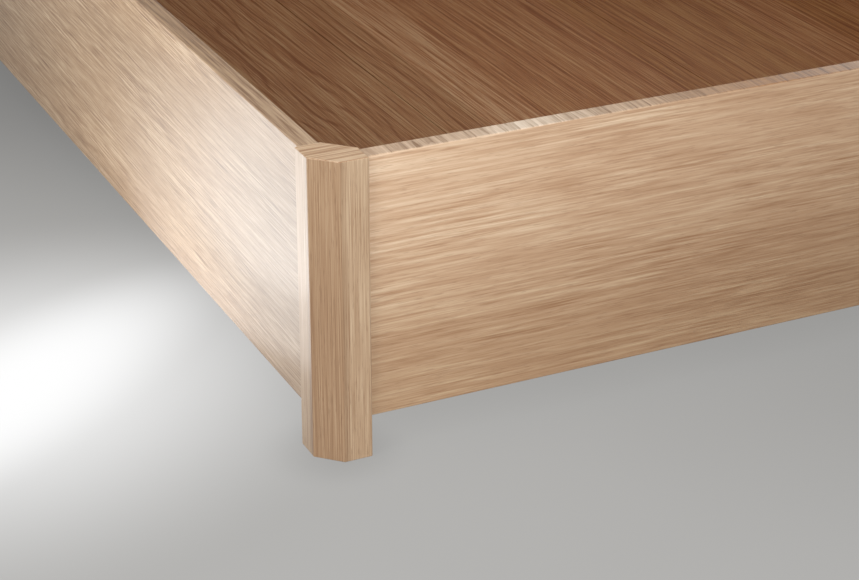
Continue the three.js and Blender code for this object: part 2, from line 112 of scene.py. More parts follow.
# Ends of the lid's side tubes, along the lid from its pivot.
LID_FOOT_Y = -1.720
LID_HEAD_Y = 0.136

# Gas struts.
CYLINDER_RADIUS = 9 * MM
CYLINDER_BORE = 7 * MM
CYLINDER_END_WALL = 6 * MM
CYLINDER_MOUTH = 1.5 * MM
CYLINDER_LIP = 0.4 * MM
CYLINDER_SHOULDER = (1.0 * MM, 0.6 * MM)
GROOVE_FROM_END = 28 * MM
GROOVE_DEPTH = 0.8 * MM
GROOVE_WIDTH = 3.4 * MM
GROOVE_SLOPE = 1 * MM
GUIDE_LENGTH = 20 * MM
GUIDE_GAP = 0.4 * MM
ROD_RADIUS = 4 * MM
ROD_OVERLAP = 35 * MM
ROD_STAND_OFF = 4 * MM
PISTON_LENGTH = 12 * MM
EYE_RADIUS = 9 * MM
EYE_THICK = 10 * MM
EYE_BORE = 4.3 * MM
EYE_EASE = 0.9 * MM
EYE_NECK = 20 * MM
NECK_RADIUS = 4.5 * MM
NECK_START = 6.6 * MM
COLLAR_RADIUS = 6.5 * MM
COLLAR_EASE = 1 * MM
COLLAR_SHOULDER = (0.4 * MM, 0.5 * MM)

# Pivot pins: distances from the bed's middle, radii, and the head's dome and hex socket.
PIN_HEAD_END = BRACKET_FACE_X - SEAT_GAP
PIN_HEAD_THICK = 4 * MM
PIN_COLLAR_START = LID_FACE_X + SEAT_GAP
PIN_COLLAR_END = PLATE_FACE_X - SEAT_GAP
PIN_END = INNER_X - SEAT_GAP
PIN_RADIUS = 6 * MM
PIN_HEAD_RADIUS = 11 * MM
PIN_DOME = 2 * MM
PIN_DOME_SHARES = (0.25, 0.3)
PIN_SOCKET = 3 * MM
PIN_SOCKET_DEPTH = 1.2 * MM
PIN_SOCKET_EASE = 0.4 * MM

# Hanger bolts. Their places along the axis are counted from the middle of the length.
BOLT_HALF = 16.3 * MM
BOLT_TAIL = 9 * MM
BOLT_RADIUS = 4 * MM
BOLT_CORE = 3.4 * MM
THREAD_PITCH = 1.25 * MM
WASHER_RADIUS = 10 * MM
WASHER_THICK = 1.6 * MM
WASHER_EASE = 0.3 * MM
NUT_FLAT = 6.5 * MM
NUT_HEIGHT = 7 * MM
NUT_EASES = (0.4 * MM, 0.7 * MM)

# Centre feet. Their eases list (inset from the flange's edge, height). The neck down to the stem lists
# (share of the way in, height).
FOOT_HEIGHT = 52 * MM
FOOT_FLANGE = 24 * MM
FOOT_STEM = 19 * MM
FOOT_BASE_EASE = [(2.5 * MM, 0.0), (0.6 * MM, 0.7 * MM), (0.0, 2.4 * MM)]
FOOT_TOP_EASE = [(0.0, 0.8 * MM), (0.8 * MM, 0.0)]
FOOT_NECK = [(0.0, 5.6 * MM), (0.16, 7.4 * MM), (0.8, 10.6 * MM), (1.0, 13 * MM)]

# Square plugs in the tube ends.
PLUG_SIDES = 4
PLUG_HALF = 13.2 * MM
PLUG_DEPTH = 12 * MM
PLUG_LEAD = (0.6 * MM, 2 * MM)
PLUG_CAP_HALF = 14.6 * MM
PLUG_STAND_OFF = 0.2 * MM
PLUG_CAP_EDGE = 0.6 * MM
PLUG_CAP_EASE = (0.8 * MM, 0.6 * MM)
PLUG_DOME = 1.5 * MM

# Screw heads: shares of the radius and of the head's height, from the rim to the bottom of the cross.
SCREW_RISE_SHARE = 0.32
SCREW_SINK = 0.2 * MM
SCREW_STEPS = 24
SCREW_SHARES = [
    (1.0, 0.25),
    (0.92, 0.62),
    (0.75, 0.88),
    (0.62, 1.0),
    (0.5, 1.0, "cross"),
    (0.42, 0.3, "cross"),
    (0.0, 0.2),
]
CROSS_ARM_SHARE = 0.27
FRAME_SCREW_RADIUS = 4.5 * MM
BATTEN_SCREW_RADIUS = 3.6 * MM
LID_BOLT_RADIUS = 5.5 * MM

# Places of screws: on braces from the box's inner corner, on plates and brackets from the lid's pivot. A
# batten has a row of them: its name, the row's axis, and the step that the row comes close to.
BRACE_SCREWS = (86 * MM, 62 * MM)
BRACE_SCREW_Z = 0.119
PLATE_SCREWS = [(-0.008, -0.04), (0.014, -0.09), (-0.06, -0.122), (-0.035, -0.148)]
BRACKET_BOLTS_Y = (-0.05, -0.125, -0.235)
SLAT_BOLTS_X = (-SIDE_TUBE_X, 0.0, SIDE_TUBE_X)
BATTENS = [("lid_rest_left", 1, 0.26), ("lid_rest_right", 1, 0.26), ("lid_rest_foot", 0, 0.3)]
BATTEN_SCREW_INSET = 0.03

ROUND_STEPS = 72
HEX = 6
SHARP_ANGLE = 0.6


# Node graphs.


def srgb(red, green, blue):
    """Linear colour of a tone as it is seen on a screen, from 0 to 255."""
    shares = [value / 255 for value in (red, green, blue)]
    return tuple(s / 12.92 if s <= 0.04045 else ((s + 0.055) / 1.055) ** 2.4 for s in shares)


def even(value):
    """The same value three times: a grey, or one size on all axes."""
    return (value, value, value)


def opaque(colour):
    """A colour with full cover. Sockets are left as they are."""
    return colour if isinstance(colour, bpy.types.NodeSocket) else (*colour, 1.0)


BLACK = even(0.0)
WHITE = even(1.0)
ORIGIN = even(0.0)
UNTURNED = even(0.0)
UNSCALED = even(1.0)


class Graph:
    """Nodes of a material or world in the making. Its methods return the socket that they make."""

    def __init__(self, block):
        block.use_nodes = True
        self.block = block
        self.tree = block.node_tree
        self.tree.nodes.clear()

    def feed(self, socket, value):
        if isinstance(value, bpy.types.NodeSocket):
            self.tree.links.new(value, socket)
        else:
            socket.default_value = value

    def node(self, kind, inputs=None, **settings):
        made = self.tree.nodes.new(kind)
        for key, value in settings.items():
            setattr(made, key, value)
        for key, value in (inputs or {}).items():
            self.feed(made.inputs[key], value)
        return made

    def maths(self, operation, first, second=0.0, third=0.0):
        made = self.node("ShaderNodeMath", {0: first, 1: second, 2: third}, operation=operation)
        return made.outputs[0]

    def times(self, first, second):
        return self.maths("MULTIPLY", first, second)

    def summed(self, *weighted):
        """The sum of value and weight pairs."""
        total = 0.0
        for value, weight in weighted:
            total = self.maths("MULTIPLY_ADD", value, weight, total)
        return total

    def overlaid(self, first, second):
        """Two shares laid over each other, never above 1."""
        return self.maths("SUBTRACT", self.maths("ADD", first, second), self.times(first, second))

    def scaled(self, vector, sizes, turn=UNTURNED, centre=ORIGIN):
        """The vector in units of the given sizes, after a turn about the centre."""
        inputs = {"Vector": vector, "Location": centre, "Rotation": turn, "Scale": sizes}
        return self.node("ShaderNodeMapping", inputs, vector_type="TEXTURE").outputs[0]

    def part(self, vector, axis):
        return self.node("ShaderNodeSeparateXYZ", {0: vector}).outputs["XYZ".index(axis)]

    def noise(self, vector, detail=2.0, roughness=0.5, distortion=0.0, offset=0.0):
        """Noise from 0 to 1. Each offset gives another pattern."""
        inputs = {"Vector": vector, "W": offset, "Scale": 1.0, "Detail": detail}
        inputs.update({"Roughness": roughness, "Distortion": distortion})
        return self.node("ShaderNodeTexNoise", inputs, noise_dimensions="4D").outputs[0]

    def remap(self, value, low, high, to_low=0.0, to_high=1.0, curve="LINEAR"):
        inputs = {"Value": value, "From Min": low, "From Max": high, "To Min": to_low, "To Max": to_high}
        return self.node("ShaderNodeMapRange", inputs, interpolation_type=curve).outputs[0]

    def ramp(self, value, stops, curve="LINEAR"):
        made = self.node("ShaderNodeValToRGB", {0: value})
        made.color_ramp.interpolation = curve
        steps = made.color_ramp.elements
        steps.remove(steps[1])
        steps[0].position = stops[0][0]
        steps[0].color = opaque(stops[0][1])
        for where, colour in stops[1:]:
            steps.new(where).color = opaque(colour)
        return made.outputs[0]

    def mixed(self, share, first, second, blend="MIX"):
        made = self.node("ShaderNodeMix", {0: share}, data_type="RGBA", blend_type=blend)
        self.feed(made.inputs[6], opaque(first))
        self.feed(made.inputs[7], opaque(second))
        return made.outputs[2]

    def sight(self):
        """1 for the rays by which something is seen: straight, in a mirror or through glass."""
        rays = self.node("ShaderNodeLightPath").outputs
        seen = self.maths("MAXIMUM", rays["Is Camera Ray"], rays["Is Glossy Ray"])
        return self.maths("MAXIMUM", seen, rays["Is Transmission Ray"])

    def mixed_shader(self, share, first, second):
        inputs = {0: share, 1: first.outputs[0], 2: second.outputs[0]}
        return self.node("ShaderNodeMixShader", inputs).outputs[0]


class Surface(Graph):
    """The graph of a material. Places are metres in the bed's frame at rest."""

    def __init__(self, name):
        super().__init__(bpy.data.materials.new(name))
        source = self.node("ShaderNodeTexCoord")
        self.place = source.outputs["Object"]
        self.facing = source.outputs["Normal"]

    def grain(self, sizes, turn=UNTURNED, **settings):
        """Noise with features of the given sizes."""
        return self.noise(self.scaled(self.place, sizes, turn), **settings)

    def bump(self, height, depth):
        return self.node("ShaderNodeBump", {"Height": height, "Distance": depth, "Strength": 1.0}).outputs[0]

    def finish(self, colour, roughness, height, depth, **constants):
        inputs = {"Base Color": colour, "Roughness": roughness, "Normal": self.bump(height, depth)}
        shader = self.node("ShaderNodeBsdfPrincipled", inputs)
        for key, value in constants.items():
            label = key.replace("_", " ").title().replace("Ior", "IOR")
            shader.inputs[label].default_value = value
        self.node("ShaderNodeOutputMaterial", {"Surface": shader.outputs[0]})
        return self.block


def lengths(grain, along, across):
    """Feature sizes: long on the grain's axis, short on the other two."""
    return tuple(along if axis == grain else across for axis in "XYZ")


def tilt(grain, angle):
    """A turn that leans the grain in the upright face that it runs along."""
    return {"X": (0.0, angle, 0.0), "Y": (angle, 0.0, 0.0)}[grain]


# Lacquered oak. Tones run from the grain's dark lines to its pale wood. Pairs of sizes are along and across
# the grain, here and below.

RAIL_TONES = [(0.0, srgb(142, 98, 59)), (0.5, srgb(178, 142, 107)), (1.0, srgb(206, 178, 143))]
SIDE_TONES = [(0.0, srgb(114, 74, 42)), (0.5, srgb(183, 147, 108)), (1.0, srgb(230, 202, 166))]
POST_TONES = [(0.0, srgb(150, 114, 81)), (0.5, srgb(182, 151, 119)), (1.0, srgb(207, 181, 150))]
SIDE_CAP_TONES = [(0.0, srgb(110, 70, 36)), (1.0, srgb(190, 162, 131))]
POST_CAP_TONES = [(0.0, srgb(146, 105, 69)), (0.5, srgb(184, 150, 117)), (1.0, srgb(212, 185, 154))]
TONE_RANGE = (0.3, 0.7)

# Layers of figure, streaks and fibre: size along the grain, size across it, and weight.
CROSS_PLAN = [(0.6, 0.05, 0.2), (0.15, 0.0048, 0.4), (0.06, 0.0018, 0.42)]
SIDE_PLAN = [(0.8, 0.04, 0.13), (0.2, 0.0042, 0.25), (0.06, 0.0014, 0.68)]
PLAN_NOISE = {"detail": 2.5, "roughness": 0.55, "distortion": 0.06}
PLAN_OFFSET = 7.3
SIDE_LEAN = 0.03
SIDE_OFFSET = 20.0

# Painted light and shade on a board, as gains on its colour: axis, start, end, and the gain in red, green
# and blue that it reaches.
# End rails: painted light, lighter and whiter towards the top; painted shade, darker from the left post
# towards the middle.
CROSS_PAINTED_LIGHT = [("Z", 0.06, 0.36, (1.42, 1.55, 1.8)), ("X", -0.617, -0.027, (0.84, 0.8, 0.75))]
# Side rails: painted shade, darker near the foot post under the lamps' sheen and from the middle to the
# head; painted light at the top and at the bottom.
SIDE_PAINTED_LIGHT = [
    ("Y", -0.5, -0.88, (0.73, 0.74, 0.77)),
    ("Y", -0.62, -0.3, (0.92, 0.91, 0.9)),
    ("Z", 0.29, 0.37, (1.15, 1.14, 1.13)),
    ("Z", 0.16, 0.06, (1.1, 1.07, 1.05)),
]
# Posts: painted light, lighter and whiter towards the top.
POST_PAINTED_LIGHT = [("Z", 0.1, 0.38, (1.05, 1.08, 1.11))]
# Side rails' tops: painted shade, darker and deeper away from the foot post.
SIDE_CAP_PAINTED_SHADE = [("Y", -0.93, -0.5, (0.8, 0.72, 0.62))]

# Patches where the lines are stronger or weaker, dark streaks, and pores.
PATCH = (0.3, 0.07)
PATCH_RANGE = (0.35, 0.65)
PATCH_GAIN = (0.65, 1.25)
STREAK = (0.06, 0.004)
STREAK_RANGE = (0.6, 0.74)
STREAK_SHARE = 0.35
STREAK_TONE = srgb(134, 88, 50)
PORE = (0.018, 0.0011)
PORE_RANGE = (0.6, 0.7)
PORE_SHARE = 0.3
PORE_TONE = srgb(128, 88, 54)

# Satin lacquer over the wood's relief.
SATIN_RANGE = (0.35, 0.65)
SATIN_ROUGHNESS = (0.5, 0.4)
OAK_RELIEF = 0.25 * MM
PORE_RELIEF = -0.4
LACQUER = {"coat_weight": 1.0, "coat_roughness": 0.26, "coat_ior": 1.6, "specular_ior_level": 0.25}

# How far up a face looks where a cap's grain starts, and where it is full.
UPWARD_RANGE = (0.6, 0.8)


def grain_tone(graph, grain, plan, lean, offset):
    """A tone from 0 to 1, the sum of the plan's layers."""
    layers = []
    for i, (along, across, weight) in enumerate(plan):
        sizes = lengths(grain, along, across)
        value = graph.grain(sizes, tilt(grain, lean), offset=offset + PLAN_OFFSET * i, **PLAN_NOISE)
        layers.append((value, weight))
    return graph.summed(*layers)


def pores(graph, grain, offset=0.0):
    """Short dashes along the grain, 0 or 1 with soft ends."""
    return graph.remap(graph.grain(lengths(grain, *PORE), detail=1.0, offset=offset), *PORE_RANGE)


def with_painted_light(graph, colour, painted_light):
    """The colour with painted light and shade, as gains that change along the board."""
    for axis, start, end, gain in painted_light:
        along = graph.remap(graph.part(graph.place, axis), start, end)
        gains = graph.ramp(along, [(0.0, WHITE), (1.0, gain)], "EASE")
        colour = graph.mixed(1.0, colour, gains, "MULTIPLY")
    return colour


def capped(graph, colour, cap):
    """The colour, with the cap's colour on faces that look up."""
    upward = graph.remap(graph.part(graph.facing, "Z"), *UPWARD_RANGE)
    return graph.mixed(upward, colour, cap(graph))


def lacquered(graph, colour, tone, holes):
    """The material, with the grain's relief under satin lacquer."""
    height = graph.summed((tone, 1.0), (holes, PORE_RELIEF))
    roughness = graph.remap(tone, *SATIN_RANGE, *SATIN_ROUGHNESS)
    return graph.finish(colour, roughness, height, OAK_RELIEF, **LACQUER)


def oak(name, grain, plan, tones, cap, painted_light, lean=0.0, offset=0.0):
    """A rail's oak, with the grain along it."""
    graph = Surface(name)
    tone = grain_tone(graph, grain, plan, lean, offset)
    patches = graph.grain(lengths(grain, *PATCH), detail=1.0, offset=offset)
    gain = graph.remap(patches, *PATCH_RANGE, *PATCH_GAIN)
    tone = graph.maths("MULTIPLY_ADD", graph.maths("SUBTRACT", tone, 0.5), gain, 0.5)
    colour = graph.ramp(graph.remap(tone, *TONE_RANGE), tones)
    holes = pores(graph, grain, offset)
    colour = graph.mixed(graph.times(holes, PORE_SHARE), colour, PORE_TONE)
    streaks = graph.grain(lengths(grain, *STREAK), tilt(grain, lean), offset=offset)
    colour = graph.mixed(graph.remap(streaks, *STREAK_RANGE, 0.0, STREAK_SHARE), colour, STREAK_TONE)
    # Painted light and shade go on the colour here, before the top face's grain.
    colour = capped(graph, with_painted_light(graph, colour, painted_light), cap)
    return lacquered(graph, colour, tone, holes)


# The posts' growth rings, by their distance from the bed's middle along its corner. The chamfer, where
# # that distance is greatest, is darker with painted shade.
RING_WARP_SIZES = (0.03, 0.03, 0.45)
RING_WARP = 0.012
RING_STEP = 0.0024
RING_LENGTH = 0.6
RING_WEIGHT = 0.22
POST_FIBRE = (0.12, 0.001)
POST_FIBRE_WEIGHT = 0.78
POST_PORE_SHARE = 0.35
POST_PORE_TONE = srgb(122, 84, 54)
CHAMFER_DISTANCE = 1.1947
CHAMFER_SHADE_DEPTH = 0.008
CHAMFER_PAINTED_SHADE = (0.71, 0.64, 0.57)


def post_oak():
    """Oak with rings square to the outer corner: fine lines on the faces, wide ones on the chamfer."""
    graph = Surface("oak_post")
    warp = graph.grain(RING_WARP_SIZES, offset=1.7)
    outward = graph.maths("ADD", *(graph.maths("ABSOLUTE", graph.part(graph.place, axis)) for axis in "XY"))
    ring = graph.summed((outward, math.sqrt(0.5)), (warp, RING_WARP))
    across = graph.maths("DIVIDE", ring, RING_STEP)
    rise = graph.maths("DIVIDE", graph.part(graph.place, "Z"), RING_LENGTH)
    place = graph.node("ShaderNodeCombineXYZ", {0: across, 1: rise}).outputs[0]
    lines = graph.noise(place, roughness=0.6, offset=2.2)
    fibre = graph.grain(lengths("Z", *POST_FIBRE), detail=1.0, offset=8.0)
    tone = graph.summed((lines, RING_WEIGHT), (fibre, POST_FIBRE_WEIGHT))
    holes = pores(graph, "Z")
    colour = graph.ramp(graph.remap(tone, *TONE_RANGE), POST_TONES)
    colour = graph.mixed(graph.times(holes, POST_PORE_SHARE), colour, POST_PORE_TONE)
    # Painted shade: the chamfer darker than the faces beside it.
    chamfer_shade = graph.remap(ring, CHAMFER_DISTANCE - CHAMFER_SHADE_DEPTH, CHAMFER_DISTANCE, curve="SMOOTHSTEP")
    colour = graph.mixed(chamfer_shade, colour, CHAMFER_PAINTED_SHADE, "MULTIPLY")
    # Painted light towards the top of the post goes on here.
    colour = capped(graph, with_painted_light(graph, colour, POST_PAINTED_LIGHT), lengthwise_cap("X", POST_CAP_TONES))
    return lacquered(graph, colour, tone, holes)


# Top faces with lines along them.
CAP_LINE = (0.12, 0.0028)
CAP_LINE_RANGE = (0.36, 0.64)


def lengthwise_cap(grain, tones, painted_light=()):
    """Grain lines along one axis, for a top face."""

    def cap(graph):
        tone = graph.grain(lengths(grain, *CAP_LINE), detail=3.0, roughness=0.6, distortion=0.2, offset=5.5)
        # Painted light and shade, if any, go on the top face's colour.
        return with_painted_light(graph, graph.ramp(graph.remap(tone, *CAP_LINE_RANGE), tones), painted_light)

    return cap


# The end rails' top edge has a deep and a pale tone. The share of the pale one changes along X. Blocks of
# unlike tone, stripes and fibre lie over that.
ACROSS_HALF = 0.7
CAP_DEEP = srgb(148, 100, 50)
CAP_PALE = srgb(214, 194, 172)
CAP_PALE_SHARES = [
    (-0.66, 0.5),
    (-0.52, 0.55),
    (-0.46, 1.0),
    (-0.33, 0.5),
    (-0.12, 0.0),
    (0.08, 0.25),
    (0.24, 0.85),
    (0.4, 0.4),
    (0.66, 0.3),
]
BLOCK_SIZES = (0.03, 0.4, 0.5)
BLOCK_TONES = 7
BLOCK_STRIDE = 3
BLOCK_LOW = 0.2
BLOCK_SPAN = 0.6
STRIPE_SIZES = (0.005, 0.08, 0.5)
CAP_FIBRE_SIZES = (0.0018, 0.03, 0.03)
CAP_WEIGHTS = {"blocks": 0.25, "stripes": 0.45, "fibre": 0.3}
CAP_RANGE = (0.32, 0.68)
CAP_SHADES = [(0.0, (0.42, 0.32, 0.23)), (0.5, WHITE), (1.0, (1.35, 1.42, 1.5))]


def across_bed(graph, stops, curve="LINEAR"):
    """A colour that changes along X. The stops are (X, colour)."""
    across = graph.remap(graph.part(graph.place, "X"), -ACROSS_HALF, ACROSS_HALF)
    shares = [((x + ACROSS_HALF) / (2 * ACROSS_HALF), colour) for x, colour in stops]
    return graph.ramp(across, shares, curve)


def banded_cap(graph):
    """Short grain across the rail, in blocks of unlike tone along it."""
    pale = across_bed(graph, [(x, even(share)) for x, share in CAP_PALE_SHARES])
    colour = graph.mixed(pale, CAP_DEEP, CAP_PALE)
    steps = []
    for i in range(BLOCK_TONES):
        share = (BLOCK_STRIDE * i) % BLOCK_TONES / (BLOCK_TONES - 1)
        steps.append((i / BLOCK_TONES, even(BLOCK_LOW + BLOCK_SPAN * share)))
    blocks = graph.remap(graph.grain(BLOCK_SIZES, detail=1.0, offset=3.1), *TONE_RANGE)
    blocks = graph.ramp(blocks, steps, "CONSTANT")
    stripes = graph.grain(STRIPE_SIZES, roughness=0.6, offset=6.4)
    fibre = graph.grain(CAP_FIBRE_SIZES, offset=9.0)
    layers = {"blocks": blocks, "stripes": stripes, "fibre": fibre}
    tone = graph.summed(*((layers[name], weight) for name, weight in CAP_WEIGHTS.items()))
    shade = graph.ramp(graph.remap(tone, *CAP_RANGE), CAP_SHADES)
    return graph.mixed(1.0, colour, shade, "MULTIPLY")


# The floor's glued staves: left edge on X, stain, and how strong the wavy figure is.

STAINS = {
    "umber": srgb(118, 80, 46),
    "brown": srgb(122, 88, 60),
    "russet": srgb(123, 85, 55),
    "tawny": srgb(135, 101, 74),
}
STAVES = [
    (-0.685, "brown", 1.0),
    (-0.270, "brown", 0.5),
    (-0.158, "tawny", 0.25),
    (-0.066, "russet", 0.1),
    (0.053, "russet", 0.15),
    (0.183, "umber", 0.3),
    (0.345, "umber", 0.1),
    (0.435, "russet", 0.2),
    (0.540, "umber", 0.4),
    (0.615, "russet", 0.1),
]
STAVE_OFFSET = 41.0

# Growth lines: they sway further where the figure is wavy, and fade in and out along the stave.
SWAY = (0.5, 0.1)
SWAY_DEPTHS = (0.03, 0.14)
GROWTH_STEP = 0.0075
GROWTH_RANGE = (0.42, 0.0)
FADING = (0.25, 0.03)
FADING_RANGE = (0.4, 0.6)
FADING_SHARES = (0.45, 1.0)

# The staves' grain, its weights, and the gain on the stain from its dark lines to its pale wood.
STAVE_LINE = (0.5, 0.005)
STAVE_FIBRE = (0.12, 0.0017)
STAVE_FIGURE = (0.35, 0.04)
STAVE_WEIGHTS = {"lines": 0.34, "fibre": 0.56, "figure": 0.1, "growth": -0.12}
STAVE_RANGE = (0.4, 0.6)
STAVE_GAINS = [
    (0.0, (0.87, 0.53, 0.24)),
    (0.4, (1.35, 1.15, 0.9)),
    (0.65, (1.59, 1.57, 1.43)),
    (1.0, (1.92, 2.23, 2.31)),
]
STAVE_PORE_SHARE = 0.35
STAVE_PORE_TONE = srgb(84, 54, 34)
STAVE_PORE_RELIEF = -0.5
STAVE_RELIEF = 0.3 * MM
STAVE_ROUGHNESS = (0.62, 0.5)


def growth_lines(graph, stave, wavy):
    """Dark lines of growth along a stave, from 0 to 1."""
    sway = graph.grain(lengths("Y", *SWAY), offset=stave)
    bend = graph.times(sway, graph.remap(wavy, 0.0, 1.0, *SWAY_DEPTHS))
    lines = graph.maths("DIVIDE", graph.maths("ADD", graph.part(graph.place, "X"), bend), GROWTH_STEP)
    lines = graph.remap(graph.maths("PINGPONG", lines, 1.0), *GROWTH_RANGE, curve="SMOOTHSTEP")
    fading = graph.remap(graph.grain(lengths("Y", *FADING), detail=1.0, offset=stave), *FADING_RANGE)
    return graph.times(lines, graph.times(fading, graph.remap(wavy, 0.0, 1.0, *FADING_SHARES)))


def floor_oak():
    """Dark stained planks: each stave has its own tone and grain."""
    graph = Surface("stained_planks")
    stain = across_bed(graph, [(edge, STAINS[stain]) for edge, stain, _ in STAVES], "CONSTANT")
    numbers = [(edge, even(i / len(STAVES))) for i, (edge, _, _) in enumerate(STAVES)]
    stave = graph.times(across_bed(graph, numbers, "CONSTANT"), STAVE_OFFSET)
    wavy = across_bed(graph, [(edge, even(share)) for edge, _, share in STAVES], "CONSTANT")
    lines = graph.grain(lengths("Y", *STAVE_LINE), detail=3.0, roughness=0.6, distortion=0.1, offset=stave)
    fibre = graph.grain(lengths("Y", *STAVE_FIBRE), roughness=0.6, offset=stave)
    figure = graph.grain(lengths("Y", *STAVE_FIGURE), distortion=0.6, offset=stave)
    growth = growth_lines(graph, stave, wavy)
    layers = {"lines": lines, "fibre": fibre, "figure": figure, "growth": growth}
    tone = graph.summed(*((layers[name], weight) for name, weight in STAVE_WEIGHTS.items()))
    gain = graph.ramp(graph.remap(tone, *STAVE_RANGE), STAVE_GAINS)
    holes = pores(graph, "Y")
    colour = graph.mixed(1.0, stain, gain, "MULTIPLY")
    colour = graph.mixed(graph.times(holes, STAVE_PORE_SHARE), colour, STAVE_PORE_TONE)
    height = graph.summed((tone, 1.0), (holes, STAVE_PORE_RELIEF))
    return graph.finish(colour, graph.remap(tone, *SATIN_RANGE, *STAVE_ROUGHNESS), height, STAVE_RELIEF)


# Softwood of cleats, beams and battens.

PINE_TONES = [(0.0, srgb(196, 158, 108)), (0.5, srgb(226, 198, 150)), (1.0, srgb(238, 216, 174))]
PINE_FIGURE = (0.9, 0.009)
PINE_RINGS = 9.0
PINE_RING_WEIGHT = 0.6
PINE_FIBRE = (0.05, 0.0012)
PINE_FIBRE_WEIGHT = 0.4
PINE_ROUGHNESS = (0.6, 0.72)
PLANED_RELIEF = 0.15 * MM


def pine(name, grain):
    """Planed softwood with wide rings."""
    graph = Surface(name)
    figure = graph.grain(lengths(grain, *PINE_FIGURE), detail=1.0, distortion=0.5, offset=2.0)
    rings = graph.maths("PINGPONG", graph.times(figure, PINE_RINGS), 1.0)
    fibre = graph.grain(lengths(grain, *PINE_FIBRE), roughness=0.6, offset=4.0)
    tone = graph.summed((rings, PINE_RING_WEIGHT), (fibre, PINE_FIBRE_WEIGHT))
    roughness = graph.remap(tone, 0.0, 1.0, *PINE_ROUGHNESS)
    return graph.finish(graph.ramp(tone, PINE_TONES), roughness, tone, PLANED_RELIEF)


# Veneer of the slats.

VENEER_RANGE = (0.36, 0.64)
VENEER_TONES = [(0.0, srgb(206, 172, 128)), (0.5, srgb(226, 198, 158)), (1.0, srgb(240, 220, 186))]
VENEER_FIGURE_SIZES = (0.5, 0.02, 0.05)
VENEER_FIGURE_WEIGHT = 0.6
VENEER_FIBRE_SIZES = (0.06, 0.0015, 0.0015)
VENEER_FIBRE_WEIGHT = 0.4
VENEER_ROUGHNESS = (0.62, 0.5)
VENEER_THICK = 1.5 * MM
GLUE_RANGE = (0.75, 1.0)
GLUE_SHARE = 0.55
GLUE_TONE = srgb(150, 108, 66)
EDGE_RANGE = (0.9, 0.7)


def slat_wood():
    """Slats of glued veneers, laid out on the shut lid: plain grain on faces, thin layers along edges."""
    graph = Surface("slat_veneer")
    turn = (-OPEN_ANGLE, 0.0, 0.0)
    flat = graph.scaled(graph.place, UNSCALED, turn, LID_PIVOT)
    figure = graph.scaled(flat, VENEER_FIGURE_SIZES)
    figure = graph.noise(figure, detail=3.0, roughness=0.55, distortion=0.4, offset=1.0)
    fibre = graph.noise(graph.scaled(flat, VENEER_FIBRE_SIZES), roughness=0.6, offset=6.0)
    tone = graph.summed((figure, VENEER_FIGURE_WEIGHT), (fibre, VENEER_FIBRE_WEIGHT))
    colour = graph.ramp(graph.remap(tone, *VENEER_RANGE), VENEER_TONES)
    layers = graph.maths("PINGPONG", graph.maths("DIVIDE", graph.part(flat, "Z"), VENEER_THICK), 1.0)
    facing = graph.scaled(graph.facing, UNSCALED, turn)
    edge = graph.remap(graph.maths("ABSOLUTE", graph.part(facing, "Z")), *EDGE_RANGE)
    glue = graph.times(graph.remap(layers, *GLUE_RANGE), graph.times(edge, GLUE_SHARE))
    colour = graph.mixed(glue, colour, GLUE_TONE)
    return graph.finish(colour, graph.remap(tone, *TONE_RANGE, *VENEER_ROUGHNESS), tone, PLANED_RELIEF)


# Metal and plastic.

COAT_TONES = [(0.3, srgb(30, 30, 32)), (0.7, srgb(52, 52, 55))]
COAT_CLOUD = 0.12
COAT_CLOUD_WEIGHT = 0.6
COAT_PEBBLE = 0.0011
COAT_PEBBLE_WEIGHT = 0.4
COAT_ROUGHNESS = (0.42, 0.56)
COAT_RELIEF = 0.08 * MM
METAL_CLOUD = 0.03
METAL_SPREAD = 0.06
ZINC_TONES = (srgb(176, 180, 184), srgb(206, 208, 210))
ZINC_MARK_SIZES = even(0.002)
CHROME_TONES = (srgb(214, 216, 218), srgb(228, 230, 232))
CHROME_MARK_SIZES = (0.0009, 0.004, 0.004)
PLASTIC_TONES = [(0.3, srgb(38, 38, 40)), (0.7, srgb(54, 54, 56))]
PLASTIC_SKIN = 0.0016
PLASTIC_CLOUD = 0.05
PLASTIC_ROUGHNESS = (0.48, 0.62)
PLASTIC_RELIEF = 0.1 * MM


def powder_coat():
    """Black powder coating with its fine pebbled skin."""
    graph = Surface("powder_coat")
    pebbles = graph.grain(even(COAT_PEBBLE), detail=3.0, roughness=0.6)
    cloud = graph.grain(even(COAT_CLOUD))
    tone = graph.summed((cloud, COAT_CLOUD_WEIGHT), (pebbles, COAT_PEBBLE_WEIGHT))
    roughness = graph.remap(cloud, *TONE_RANGE, *COAT_ROUGHNESS)
    return graph.finish(graph.ramp(tone, COAT_TONES), roughness, pebbles, COAT_RELIEF)


def metal(name, tones, mark_sizes, roughness, relief):
    """Bare or plated metal with marks of the given sizes and a faint cloud."""
    graph = Surface(name)
    marks = graph.grain(mark_sizes, detail=3.0, roughness=0.6, distortion=0.2)
    cloud = graph.grain(even(METAL_CLOUD), offset=4.0)
    tone = graph.summed((marks, 0.5), (cloud, 0.5))
    colour = graph.ramp(graph.remap(tone, *SATIN_RANGE), [(0.0, tones[0]), (1.0, tones[1])])
    spread = graph.remap(tone, *SATIN_RANGE, roughness - METAL_SPREAD, roughness + METAL_SPREAD)
    return graph.finish(colour, spread, marks, relief, metallic=1.0)


def moulded_plastic():
    graph = Surface("moulded_plastic")
    skin = graph.grain(even(PLASTIC_SKIN), roughness=0.6)
    cloud = graph.grain(even(PLASTIC_CLOUD), offset=2.0)
    roughness = graph.remap(skin, *TONE_RANGE, *PLASTIC_ROUGHNESS)
    return graph.finish(graph.ramp(cloud, PLASTIC_TONES), roughness, skin, PLASTIC_RELIEF)


# Finishes, and the part's own nodes that take them, by the start of their names.

